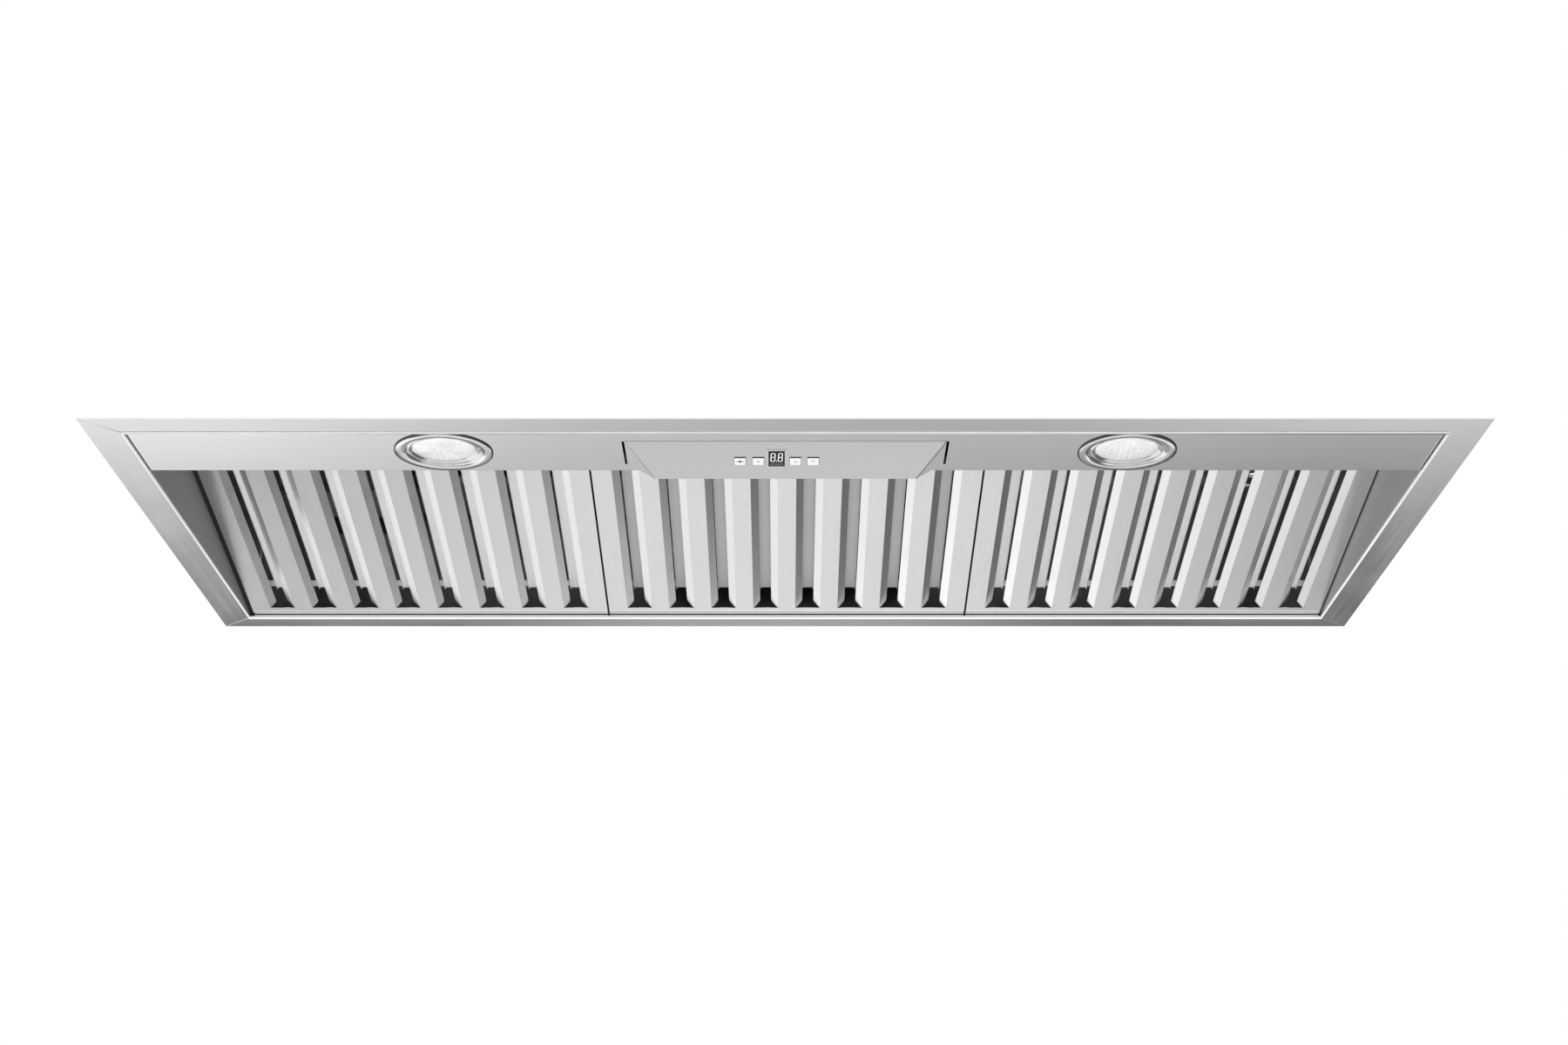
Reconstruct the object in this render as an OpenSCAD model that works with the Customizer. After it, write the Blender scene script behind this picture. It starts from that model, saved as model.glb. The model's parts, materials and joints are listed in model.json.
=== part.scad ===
// Low range hood that is set up into the underside of a cabinet.
// X runs to the right, Y from the cook to the wall, Z up. The origin is the
// middle of the rim's upper face, where the rim bears on the cabinet.
// "d" is a distance back from the rim's front edge, "z" a height over the rim.

/* [Canopy] */
// Width over the rim
width = 1178; // [1170:1:1190]
// Depth over the rim
depth = 572; // [570:1:576]
// Width of the flat rim that shows from below
rim = 31; // [29:1:32]
// Thickness of the canopy's sheet steel
sheet = 1.2; // [1:0.1:1.4]
// Height of the flat top over the rim
body_h = 165; // [160:1:168]
// Distance from the front edge to the flat top
top_d = 410; // [405:1:415]

/* [Filters] */
// Width of one baffle filter
filter_w = 368.5; // [366:0.5:369]
// Length of one baffle filter, front to back
filter_len = 318; // [310:1:320]
// Height of a filter's frame
filter_h = 22; // [20:0.5:22]
// Tilt of the filters, lower at the back
filter_tilt = 10.5; // [9:0.5:11]
// Slots in one filter
slots = 8; // [6:1:8]
// Width of one slot in the front sheet
slot_w = 25.8; // [24:0.1:26]
// Distance from one slot to the next
slot_pitch = 43.5; // [43:0.1:43.8]

/* [Lights] */
// Distance of each light from the middle
light_x = 294; // [260:1:320]
// Outer radius of a light's bezel
bezel_r = 42; // [40:0.5:42]

/* [Controls] */
// Half the width of the control fascia at its front edge
fascia_half = 137.5; // [130:0.5:140]
// Height that the fascia drops below the light strip
fascia_drop = 16.5; // [15:0.5:17]
// Travel of a key
key_travel = 1; // [0.8:0.1:1.2]

/* [Blower] */
// Radius of a blower wheel
wheel_r = 43; // [41:0.5:43]
// Blades on one wheel
blades = 24; // [18:1:30]

/* [Outlet] */
// Width of the rectangular duct collar
duct_w = 254; // [240:1:254]
// Depth of the rectangular duct collar
duct_depth = 83; // [80:1:83]
// Height of the duct collar over the flat top
duct_h = 19; // [16:1:20]

/* [Hidden] */
$fn = 64;

// Finishes
steel = [0.80, 0.80, 0.80];
steel_mid = [0.70, 0.70, 0.71];
galvanised = [0.62, 0.64, 0.66];
blower_black = [0.10, 0.10, 0.11];
key_white = [0.93, 0.93, 0.92];
glass_white = [0.96, 0.96, 0.94];
board_green = [0.10, 0.33, 0.20];
part_black = [0.07, 0.07, 0.08];

// Canopy sheet
bend_r = 2;
seam = 0.3;
front_h = 11.5;
front_wall = 9;
front_d = rim - sheet;
in_x = width / 2 - rim;
out_x = in_x + sheet;
slope = (body_h - front_h) / (top_d - front_d);
slope_drop = sheet * sqrt(1 + slope * slope);
skirt = 12;
skirt_d = 60;
under_top = body_h - sheet;
knee_d = front_d + (under_top - front_h + slope_drop) / slope;

// Light strip
strip_z = 0.3;
strip_d0 = rim + 0.6;
strip_d1 = 123.2;
strip_lip = 13;
strip_front = 6;
barrel_gap = 0.3;
panel_foot = 14;
panel_top_d = 233;
panel_top_z = 60;
light_d = 76.5;
barrel_r = 36.5;
barrel_top = 12.5;
lens_r = 27.2;
glass_r = 33;
led_z = 8;
led_w = 3.5;
led_ring = 18;
sink_r = 35;
fin_top = 17;

// Control fascia, measured in its own sloping plane
fascia_d = 53.5;
fascia_len_d = 46;
fascia_tilt = atan(fascia_drop / fascia_len_d);
fascia_back_half = 113.3;
fascia_rear_d = 106;
slit = 2.2;
fascia_flange = 9;
fascia_t = 1;
key_y = 25.3;
key_w = 9.8;
key_l = 10;
key_gap = 0.3;
key_proud = 0.8;
key_top = 4;
key_skirt = 1.2;
key_skirt_n = 1.3;
key_stem = 3.4;
key_x = [-38.9, -23.3, 8.6, 23.9];
display_x = -7.5;
display_y = 22;
display_w = 14;
display_l = 20.4;
display_gap = 0.2;
display_rim = 1.2;
board_n = 12;
board_t = 1.6;
board_x0 = -75;
board_x1 = 60;
board_y0 = 5;
board_y1 = 43;
post_in = [5, 4];
post_r = 2.5;

// Filters, measured in their own sloping plane from the ledge's rolled edge
ledge_d = depth - rim + 1.5;
roll_r = 1.5;
roll_z = roll_r - sheet;
filter_lift = 1.9;
filter_tail = 8;
filter_gap = 2;
filter_x0 = -in_x + 4.8;
filter_t = 0.8;
filter_lip = 6;
rear_wall_h = 9;
slot_end = 15;
slot_front = filter_len - filter_tail - 20;
slot_x0 = (filter_w - (slots - 1) * slot_pitch - slot_w) / 2;
throat_half = 5.75;
throat_h = 4;
web_n = throat_h + 15.5;
web_half = 5.9;
web_leg = 2;
web_end = 24;
bar_w = 11;
pull_half = 22;
pull_h = 8;
stud_r = 3;
stud_in = 65;
stud_hole = 4;
leaf_t = 0.5;
leaf_h = 7;
stud_y = -(filter_len - filter_tail) + 12;
rail_n = filter_lift + filter_h + 0.6;
rail_y0 = -(filter_len - filter_tail) - 3;
rail_y1 = rail_y0 + 28;
panel_y = rail_y0 - sheet;

// Blower, motor and outlet
axis_d = 484;
axis_z = 104;
housing_half = 143;
housing_t = 1;
cutoff_angle = 137;
scroll_r0 = wheel_r + 3.7;
scroll_r1 = 49;
scroll_step = 9;
wheel_x0 = 40;
wheel_x1 = 135;
blade_in = wheel_r - 9;
blade_lean = 25;
hub_r = 9;
hub_l = 16;
inlet_r = 33;
inlet_lip = 6;
shaft_r = 4;
bush_gap = 0.05;
bush_r = 7;
motor_r = 34;
motor_half = 34;
motor_wall = 2;
rotor_r = 22;
boss_r = 12;
boss_l = 3;
strap_half = 8;
arm_half = 4;
cap_x0 = 190;
cap_x1 = 250;
cap_d = 515;
cap_r = 17;
duct_d0 = 450;
duct_d1 = duct_d0 + duct_depth;
duct_t = 1;
duct_foot = 14;
duct_ledge = 5;
flap_pin_r = 2;
flap_pin_d = duct_d0 + 6;
flap_pin_z = body_h + 8;
flap_t = 1;
flap_hub = 1.1;

// Electrics
gland_x = -460;
gland_d = 505;
gland_r = 11;
gland_bore = 5;
gland_nut = 8;
box_x0 = -520;
box_x1 = -400;
box_d0 = 470;
box_d1 = 540;
box_z0 = 112;
box_t = 1;
entry_z = 145;
entry_r = 6;
driver_x = -300;
driver_d = 158;
driver_z = 31;
driver_tilt = 24;
driver_half = 55;
run_x = -490;
wire_r = 3;

// Fixing holes in the flat top, screws
fix_x = 500;
fix_d0 = 425;
fix_d1 = 555;
fix_r = 3.5;
screw_r = 3.5;
screw_h = 2;
screw_d = [150, 280, 420, 540];
screw_drop = 7;

function yd(d) = d - depth / 2;
function slot_mid(i) = slot_x0 + slot_w / 2 + i * slot_pitch;
function filter_left(i) = filter_x0 + i * (filter_w + filter_gap);
function roof(d) = front_h + slope * (d - front_d) - slope_drop;

// Outline in (d, z), drawn out along X
module span_x(x0, x1) {
    translate([x0, -depth / 2, 0]) rotate([90, 0, 90]) linear_extrude(x1 - x0) children();
}

// Outline in (x, z), drawn out along Y
module span_y(d0, d1) {
    translate([0, yd(d1), 0]) rotate([90, 0, 0]) linear_extrude(d1 - d0) children();
}

// Outline in (x, d), drawn out along Z
module span_z(z0, z1) {
    translate([0, -depth / 2, z0]) linear_extrude(z1 - z0) children();
}

module box2(x0, x1, y0, y1) {
    translate([x0, y0]) square([x1 - x0, y1 - y0]);
}

module box3(x0, x1, y0, y1, z0, z1) {
    translate([x0, y0, z0]) cube([x1 - x0, y1 - y0, z1 - z0]);
}

// Plane of the filters: y runs back along the slope, z square to it
module filter_plane() {
    translate([0, yd(ledge_d), roll_z]) rotate([-filter_tilt, 0, 0]) children();
}

// Plane of the fascia: y runs back along the slope, z into the hood
module fascia_plane() {
    translate([0, yd(fascia_d), strip_z]) rotate([-fascia_tilt, 0, 0]) children();
}

module light_at(side) {
    translate([side * light_x, yd(light_d), 0]) children();
}

// Cylinder along X
module rod_x(x0, x1, r) {
    translate([x0, 0, 0]) rotate([0, 90, 0]) cylinder(h = x1 - x0, r = r);
}

// ---- canopy -----------------------------------------------------------

// Flange, bend and upright wall; the wall's face is at u = 0, the flange at u < 0
module bent_edge(flange, wall) {
    box2(-flange, -bend_r, -sheet, 0);
    box2(-sheet, 0, bend_r - sheet, wall);
    intersection() {
        translate([-bend_r, bend_r - sheet]) difference() {
            circle(r = bend_r);
            circle(r = bend_r - sheet);
        }
        box2(-bend_r, 0, -sheet, bend_r - sheet);
    }
}

module front_rail() {
    color(steel) intersection() {
        span_x(-width / 2, width / 2) translate([rim, 0]) bent_edge(rim, front_wall);
        span_z(-sheet, body_h) polygon([[-width / 2 + seam, 0], [width / 2 - seam, 0],
            [width / 2 - seam - rim, rim], [-width / 2 + seam + rim, rim]]);
    }
}

module rear_rail() {
    color(steel) union() {
        span_z(-sheet, 0) polygon([[-width / 2 + seam, depth], [width / 2 - seam, depth],
            [width / 2 - seam - rim + roll_r, ledge_d], [-width / 2 + seam + rim - roll_r, ledge_d]]);
        span_x(-in_x + seam, in_x - seam) translate([ledge_d, roll_z]) circle(r = roll_r);
        span_x(-in_x + seam, in_x - seam) box2(depth - sheet, depth, -sheet, under_top);
        span_x(-in_x + seam, in_x - seam) box2(depth - skirt, depth, under_top - sheet, under_top);
    }
}

module side(dir) {
    color(steel) intersection() {
        span_y(0, depth) mirror([dir > 0 ? 0 : 1, 0]) translate([in_x, 0]) mirror([1, 0])
            bent_edge(rim, under_top);
        union() {
            span_z(-sheet, bend_r - sheet) mirror([dir > 0 ? 0 : 1, 0]) polygon([[width / 2, seam],
                [width / 2, depth - seam], [in_x - 0.01, depth - rim - seam], [in_x - 0.01, rim + seam]]);
            span_x(-width / 2, width / 2) polygon([[rim + seam, 0.6], [depth - seam, 0.6],
                [depth - seam, under_top], [knee_d, under_top], [rim + seam, roof(rim + seam)]]);
        }
    }
}

module left_side() {
    side(-1);
}

module right_side() {
    side(1);
}

module top_cover() {
    skirt_z = front_h + slope * (skirt_d - front_d);
    color(galvanised) difference() {
        span_x(-out_x - sheet, out_x + sheet) polygon([[front_d, front_h], [top_d, body_h],
            [depth, body_h], [depth, body_h - skirt], [top_d, body_h - skirt],
            [skirt_d, skirt_z - skirt], [skirt_d, roof(skirt_d)], [front_d, roof(front_d)]]);
        span_x(-out_x, out_x) polygon([[0, roof(0)], [knee_d, under_top],
            [depth + 1, under_top], [depth + 1, 0], [0, -skirt]]);
        span_z(under_top - 1, body_h + 1) box2(-duct_w / 2, duct_w / 2, duct_d0, duct_d1);
        translate([gland_x, yd(gland_d), under_top - 1]) cylinder(h = 4, r = gland_r + 0.1);
        for (x = [-fix_x, fix_x]) for (d = [fix_d0, fix_d1])
            translate([x, yd(d), under_top - 1]) cylinder(h = 4, r = fix_r);
    }
}

module light_strip() {
    color(steel) difference() {
        union() {
            span_x(-in_x + seam, in_x - seam) translate([strip_d1, strip_z + sheet])
                bent_edge(strip_d1 - strip_d0 - bend_r, strip_lip);
            span_x(-in_x + seam, in_x - seam) translate([strip_d0, strip_z + sheet])
                mirror([1, 0]) bent_edge(bend_r + 1, strip_front);
        }
        for (s = [-1, 1]) light_at(s) translate([0, 0, strip_z - 1])
            cylinder(h = 4, r = barrel_r + barrel_gap);
        span_z(strip_z - 1, strip_z + 3)
            box2(-fascia_half - slit, fascia_half + slit, fascia_d, fascia_rear_d + 0.3);
    }
}

module inner_panel() {
    color(galvanised) union() {
        span_x(-in_x + seam, in_x - seam) union() {
            box2(strip_d1, strip_d1 + 1, 4, panel_foot);
            polygon([[strip_d1, panel_foot], [strip_d1 + 1, panel_foot - sheet],
                [panel_top_d, panel_top_z], [panel_top_d - 1.4, panel_top_z + sheet]]);
        }
        filter_plane() box3(-in_x + seam, in_x - seam, panel_y - 1, panel_y, 0.6, 18);
    }
}

module filter_rail() {
    color(galvanised) filter_plane() difference() {
        union() {
            box3(-in_x + seam, in_x - seam, panel_y, rail_y0, 3, rail_n + sheet);
            box3(-in_x + seam, in_x - seam, rail_y0, rail_y1, rail_n, rail_n + sheet);
        }
        for (i = [0 : 2]) for (x = [stud_in, filter_w - stud_in])
            box3(filter_left(i) + x - stud_hole, filter_left(i) + x + stud_hole,
                stud_y - stud_hole - 1, stud_y + stud_hole + 0.5, rail_n - 1, rail_n + 3);
    }
}

// A pair of spring leaves grips each stud
module catch_clips() {
    leaf_x = stud_r + 0.4;
    color(steel_mid) filter_plane() for (i = [0 : 2]) for (x = [stud_in, filter_w - stud_in])
        translate([filter_left(i) + x, stud_y, rail_n + sheet]) for (s = [0, 1]) mirror([s, 0, 0]) {
            box3(leaf_x, leaf_x + leaf_t, -stud_hole, stud_hole, 0, leaf_h);
            box3(leaf_x + leaf_t, leaf_x + leaf_h, -stud_hole, stud_hole, 0, leaf_t);
        }
}

// ---- controls ---------------------------------------------------------

// Wedge that hangs below the strip, drawn in by t on every face
module wedge(t) {
    rise = t * sqrt(1 + pow(fascia_drop / fascia_len_d, 2));
    intersection() {
        span_x(-fascia_half, fascia_half) polygon([
            [fascia_d, strip_z + rise], [fascia_d + fascia_len_d, strip_z - fascia_drop + rise],
            [fascia_rear_d - t, strip_z + sheet + t], [fascia_d, strip_z + sheet + t]]);
        span_y(0, depth) polygon([
            [-fascia_back_half + t, strip_z - fascia_drop], [fascia_back_half - t, strip_z - fascia_drop],
            [fascia_half - t, strip_z], [fascia_half - t, strip_z + 5],
            [-fascia_half + t, strip_z + 5], [-fascia_half + t, strip_z]]);
    }
}

module control_fascia() {
    top = strip_z + sheet;
    color(steel) difference() {
        union() {
            difference() {
                wedge(0);
                wedge(fascia_t);
            }
            span_x(-fascia_half + fascia_t, fascia_half - fascia_t) {
                box2(fascia_d - fascia_flange, fascia_d + fascia_t, top, top + fascia_t);
                box2(fascia_d, fascia_d + fascia_t, strip_z, top + fascia_t);
                box2(fascia_rear_d - fascia_t, fascia_rear_d + fascia_flange, top, top + fascia_t);
            }
        }
        fascia_plane() {
            for (x = key_x) box3(x - key_w / 2 - key_gap, x + key_w / 2 + key_gap,
                key_y - key_l / 2 - key_gap, key_y + key_l / 2 + key_gap, -2, 3);
            display_block(display_gap, -2, 3);
        }
    }
}

// The display's outline, grown by t
module display_block(t, n0, n1) {
    box3(display_x - display_w / 2 - t, display_x + display_w / 2 + t,
        display_y - display_l / 2 - t, display_y + display_l / 2 + t, n0, n1);
}

module display_bezel() {
    color(key_white) fascia_plane() difference() {
        display_block(display_rim, -display_rim / 2, 0);
        display_block(0, -2, 2);
    }
}

module display_module() {
    color(part_black) fascia_plane() display_block(0, -display_rim / 4, board_n);
}

module key(i) {
    color(key_white) fascia_plane() translate([key_x[i], key_y, 0]) {
        box3(-key_w / 2, key_w / 2, -key_l / 2, key_l / 2, -key_proud, key_top);
        box3(-key_w / 2 - key_skirt, key_w / 2 + key_skirt, -key_l / 2 - key_skirt, key_l / 2 + key_skirt,
            key_skirt_n, key_skirt_n + 1);
        translate([0, 0, key_top]) cylinder(h = key_stem, r = 1.5);
    }
}

module light_key() {
    key(0);
}

module minus_key() {
    key(1);
}

module plus_key() {
    key(2);
}

module power_key() {
    key(3);
}

module at_posts() {
    for (x = [board_x0 + post_in[0], board_x1 - post_in[0]])
        for (y = [board_y0 + post_in[1], board_y1 - post_in[1]]) translate([x, y, 0]) children();
}

module control_board() {
    color(board_green) fascia_plane() {
        difference() {
            box3(board_x0, board_x1, board_y0, board_y1, board_n, board_n + board_t);
            at_posts() translate([0, 0, board_n - 1]) cylinder(h = 4, r = post_r / 2);
        }
        box3(32, 50, 14, 26, board_n + board_t, board_n + board_t + 6);
        box3(-66, -50, 14, 32, board_n + board_t, board_n + board_t + 4);
    }
}

module key_switches() {
    color(part_black) fascia_plane() for (x = key_x)
        box3(x - 3, x + 3, key_y - 3, key_y + 3, key_top + key_stem + key_travel + 0.2, board_n);
}

module board_posts() {
    color(steel_mid) fascia_plane() at_posts()
        translate([0, 0, fascia_t]) cylinder(h = board_n - fascia_t, r = post_r);
}

// ---- lights -----------------------------------------------------------

module light_bezel(side) {
    color(steel) light_at(side) rotate_extrude() polygon([
        [bezel_r, strip_z], [bezel_r, strip_z - 0.5], [bezel_r - 0.6, strip_z - 1],
        [glass_r + 0.5, strip_z - 1.4], [glass_r - 1, strip_z - 0.9], [glass_r - 1.4, strip_z + 0.3],
        [lens_r + 1.2, strip_z + 0.4], [lens_r + 0.2, strip_z + 1.2], [lens_r + 0.2, strip_z + 2.4],
        [barrel_r - sheet, strip_z + 2.4], [barrel_r - sheet, barrel_top], [barrel_r, barrel_top],
        [barrel_r, strip_z]]);
}

module light_lens(side) {
    color(glass_white) light_at(side) {
        translate([0, 0, strip_z + 0.9]) cylinder(h = 1.6, r = lens_r);
        translate([0, 0, strip_z + 2.45]) cylinder(h = 1.2, r = glass_r);
    }
}

module light_board(side) {
    color(board_green) light_at(side) {
        translate([0, 0, led_z]) cylinder(h = board_t, r = glass_r);
        for (a = [0 : 45 : 315]) rotate([0, 0, a])
            box3(led_ring, led_ring + led_w, -led_w / 2, led_w / 2, led_z - 1.4, led_z);
    }
}

module light_housing(side) {
    color(galvanised) light_at(side) {
        translate([0, 0, barrel_top - 2.8]) cylinder(h = 2.8, r = sink_r);
        for (x = [-18 : 6 : 18]) box3(x - 1, x + 1, -14, 16, barrel_top, fin_top);
    }
}

module light_springs(side) {
    color(steel_mid) light_at(side) for (s = [0, 1]) mirror([s, 0, 0]) {
        box3(barrel_r + 0.1, barrel_r + 0.7, -5, 5, strip_z + sheet + 0.3, 11);
        translate([barrel_r + 0.4, 0, 2.4]) rotate([0, -20, 0]) box3(0, 16, -4.5, 4.5, 0, 0.6);
    }
}

module light_bezel_left() {
    light_bezel(-1);
}

module light_bezel_right() {
    light_bezel(1);
}

module light_lens_left() {
    light_lens(-1);
}

module light_lens_right() {
    light_lens(1);
}

module light_board_left() {
    light_board(-1);
}

module light_board_right() {
    light_board(1);
}

module light_housing_left() {
    light_housing(-1);
}

module light_housing_right() {
    light_housing(1);
}

module light_springs_left() {
    light_springs(-1);
}

module light_springs_right() {
    light_springs(1);
}

// ---- baffle filters ---------------------------------------------------

// Cross-section of the front sheet: lands with walls that lean in over each slot
module sheet_profile() {
    for (i = [0 : slots]) box2(i == 0 ? 0 : slot_mid(i - 1) + slot_w / 2,
        i == slots ? filter_w : slot_mid(i) - slot_w / 2, 0, filter_t);
    for (i = [0 : slots - 1]) translate([slot_mid(i), 0]) for (s = [0, 1]) mirror([s, 0])
        polygon([[slot_w / 2, 0], [throat_half, throat_h], [throat_half + 0.5, throat_h + 0.6],
            [slot_w / 2 + 1, filter_t], [slot_w / 2 + 1, 0]]);
}

module filter_frame(i) {
    front = -(filter_len - filter_tail);
    run = slot_w / 2 - throat_half;
    color(steel) filter_plane() translate([filter_left(i), 0, filter_lift]) difference() {
        union() {
            translate([0, -slot_end, 0]) rotate([90, 0, 0]) linear_extrude(slot_front - slot_end)
                sheet_profile();
            box3(0, filter_w, -slot_end, filter_tail, 0, filter_t);
            box3(0, filter_w, front, -slot_front, 0, filter_t);
            for (x = [0, filter_w - filter_t])
                box3(x, x + filter_t, front, filter_tail, 0, filter_h);
            box3(0, filter_w, front, front + filter_t, 0, filter_h);
            box3(0, filter_w, filter_tail - filter_t, filter_tail, 0, rear_wall_h);
            box3(0, filter_lip, front, filter_tail, filter_h - filter_t, filter_h);
            box3(filter_w - filter_lip, filter_w, front, filter_tail, filter_h - filter_t, filter_h);
            box3(0, filter_w, front, front + filter_lip, filter_h - filter_t, filter_h);
        }
        translate([0, 0, -1]) linear_extrude(throat_h + 3) for (k = [0 : slots - 1])
            translate([slot_mid(k), 0]) {
                polygon([[-slot_w / 2, -slot_end], [slot_w / 2, -slot_end],
                    [throat_half, -slot_end - run], [-throat_half, -slot_end - run]]);
                polygon([[-slot_w / 2, -slot_front], [slot_w / 2, -slot_front],
                    [throat_half, -slot_front + run], [-throat_half, -slot_front + run]]);
            }
    }
}

module filter_baffles(i) {
    front = -(filter_len - filter_tail);
    strip_n = web_n + filter_t;
    color(steel_mid) filter_plane() translate([filter_left(i), 0, filter_lift]) union() {
        translate([0, -web_end, 0]) rotate([90, 0, 0]) linear_extrude(-front - web_end - 4)
            for (k = [0 : slots - 1]) translate([slot_mid(k), 0]) {
                box2(-web_half, web_half, web_n, strip_n);
                box2(-web_half, -web_half + filter_t, web_n - web_leg, strip_n);
                box2(web_half - filter_t, web_half, web_n - web_leg, strip_n);
            }
        for (y = [-web_end - 12, front + 8])
            box3(1, filter_w - 1, y, y + bar_w, strip_n - 0.01, strip_n + filter_t);
    }
}

module filter_studs(i) {
    color(steel_mid) filter_plane() for (x = [stud_in, filter_w - stud_in])
        translate([filter_left(i) + x, stud_y, filter_lift + web_n + 2 * filter_t]) {
            translate([-6, -6, 0]) cube([12, 12, 1]);
            cylinder(h = 9.6, r = stud_r - 0.6);
            translate([0, 0, 7.2]) cylinder(h = 2.4, r = stud_r);
        }
}

// Folded finger lip under the front land
module filter_pull(i) {
    front = -(filter_len - filter_tail);
    color(steel_mid) filter_plane() translate([filter_left(i) + filter_w / 2, front, filter_lift]) {
        box3(-pull_half, pull_half, 4, 16, -filter_t, 0);
        box3(-pull_half, pull_half, 4, 4 + filter_t, -pull_h, -filter_t);
        box3(-pull_half, pull_half, 4, 8, -pull_h - filter_t, -pull_h);
    }
}

module filter_frame_left() {
    filter_frame(0);
}

module filter_frame_middle() {
    filter_frame(1);
}

module filter_frame_right() {
    filter_frame(2);
}

module filter_baffles_left() {
    filter_baffles(0);
}

module filter_baffles_middle() {
    filter_baffles(1);
}

module filter_baffles_right() {
    filter_baffles(2);
}

module filter_studs_left() {
    filter_studs(0);
}

module filter_studs_middle() {
    filter_studs(1);
}

module filter_studs_right() {
    filter_studs(2);
}

module filter_pull_left() {
    filter_pull(0);
}

module filter_pull_middle() {
    filter_pull(1);
}

module filter_pull_right() {
    filter_pull(2);
}

// ---- blower -----------------------------------------------------------

function scroll_r(a) = scroll_r0 + (scroll_r1 - scroll_r0) * (a - cutoff_angle) / (360 - cutoff_angle);

// Scroll outline in (d, z) with an open top, grown by t
module scroll(t, top) {
    turns = concat([for (a = [cutoff_angle : scroll_step : 355]) a], [360]);
    polygon(concat([[duct_d0 - t, top]],
        [for (a = turns) [axis_d + (scroll_r(a) + t) * cos(a), axis_z + (scroll_r(a) + t) * sin(a)]],
        [[axis_d + scroll_r1 + t, top]]));
}

module at_axis() {
    translate([0, yd(axis_d), axis_z]) children();
}

module blower_housing() {
    color(blower_black) difference() {
        span_x(-housing_half, housing_half) scroll(housing_t, under_top);
        span_x(-housing_half + housing_t, housing_half - housing_t) scroll(0, under_top + 1);
        at_axis() rod_x(-housing_half - 1, housing_half + 1, inlet_r + 1.6);
    }
}

// Flared rings that lead the air into the wheels
module inlet_rings() {
    color(galvanised) at_axis() for (s = [0, 1]) mirror([s, 0, 0])
        translate([housing_half, 0, 0]) rotate([0, 90, 0]) rotate_extrude() polygon([
            [inlet_r + inlet_lip, 0], [inlet_r + inlet_lip, 1], [inlet_r + 1, 1.6], [inlet_r, 0.4],
            [inlet_r - 0.6, -inlet_lip], [inlet_r + 0.4, -inlet_lip], [inlet_r + 1, 0]]);
}

// Wheel with forward blades; the closed disc is on the motor's side
module impeller() {
    color(galvanised) at_axis() union() {
        difference() {
            union() {
                rod_x(wheel_x0, wheel_x0 + 1, wheel_r);
                rod_x(wheel_x0 + 0.5, wheel_x0 + hub_l, hub_r);
            }
            rod_x(wheel_x0 - 1, wheel_x0 + hub_l + 1, shaft_r);
        }
        difference() {
            rod_x(wheel_x1 - 2, wheel_x1, wheel_r);
            rod_x(wheel_x1 - 3, wheel_x1 + 1, blade_in);
        }
        for (k = [0 : blades - 1]) rotate([k * 360 / blades, 0, 0])
            translate([wheel_x0 + 0.5, 0, 0]) rotate([0, 90, 0]) linear_extrude(wheel_x1 - wheel_x0 - 1)
                translate([0, (wheel_r + blade_in) / 2]) rotate(blade_lean) box2(-0.5, 0.5, -3.9, 3.9);
    }
}

module impeller_right() {
    impeller();
}

module impeller_left() {
    mirror([1, 0, 0]) impeller();
}

module motor_shell() {
    color(galvanised) at_axis() difference() {
        union() {
            rod_x(-motor_half, motor_half, motor_r);
            rod_x(-motor_half - boss_l, motor_half + boss_l, boss_r);
        }
        rod_x(-motor_half + motor_wall, motor_half - motor_wall, motor_r - motor_wall);
        rod_x(-motor_half - boss_l - 1, motor_half + boss_l + 1, bush_r);
    }
}

module motor_shaft() {
    color(steel_mid) at_axis() union() {
        rod_x(-wheel_x0 - hub_l - 1, wheel_x0 + hub_l + 1, shaft_r);
        rod_x(-rotor_r, rotor_r, rotor_r);
    }
}

module shaft_bushes() {
    color([0.72, 0.58, 0.30]) at_axis() for (s = [0, 1]) mirror([s, 0, 0]) difference() {
        rod_x(motor_half - 5, motor_half + boss_l, bush_r);
        rod_x(motor_half - 6, motor_half + boss_l + 1, shaft_r + bush_gap);
    }
}

// Strap round the motor with two arms that reach the scroll
module motor_bracket() {
    color(galvanised) at_axis() difference() {
        union() {
            rod_x(-strap_half, strap_half, motor_r + 1.5);
            for (a = [205, 320]) rotate([a, 0, 0])
                box3(-strap_half + 1, strap_half - 1, motor_r - 4, scroll_r(a) - 0.5, -arm_half, arm_half);
        }
        rod_x(-20, 20, motor_r);
    }
}

module capacitor() {
    color(key_white) {
        translate([0, yd(cap_d), under_top - cap_r - 1]) rod_x(cap_x0, cap_x1, cap_r);
        span_x(cap_x0 + 22, cap_x1 - 22) box2(cap_d - 19, cap_d + 19, under_top - 1, under_top);
    }
}

// ---- outlet -----------------------------------------------------------

module duct_collar() {
    color(galvanised) difference() {
        union() {
            span_z(body_h, body_h + 1) box2(-duct_w / 2 - duct_foot, duct_w / 2 + duct_foot,
                duct_d0 - duct_foot, duct_d1 + duct_foot);
            span_z(body_h, body_h + duct_h) box2(-duct_w / 2, duct_w / 2, duct_d0, duct_d1);
        }
        span_z(body_h + 1, body_h + duct_h + 1)
            box2(-duct_w / 2 + duct_t, duct_w / 2 - duct_t, duct_d0 + duct_t, duct_d1 - duct_t);
        span_z(body_h - 1, body_h + 2) box2(-duct_w / 2 + duct_ledge, duct_w / 2 - duct_ledge,
            duct_d0 + duct_ledge, duct_d1 - duct_ledge);
        translate([0, yd(flap_pin_d), flap_pin_z]) rod_x(-duct_w / 2 - 1, duct_w / 2 + 1, flap_pin_r + 0.05);
    }
}

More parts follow.
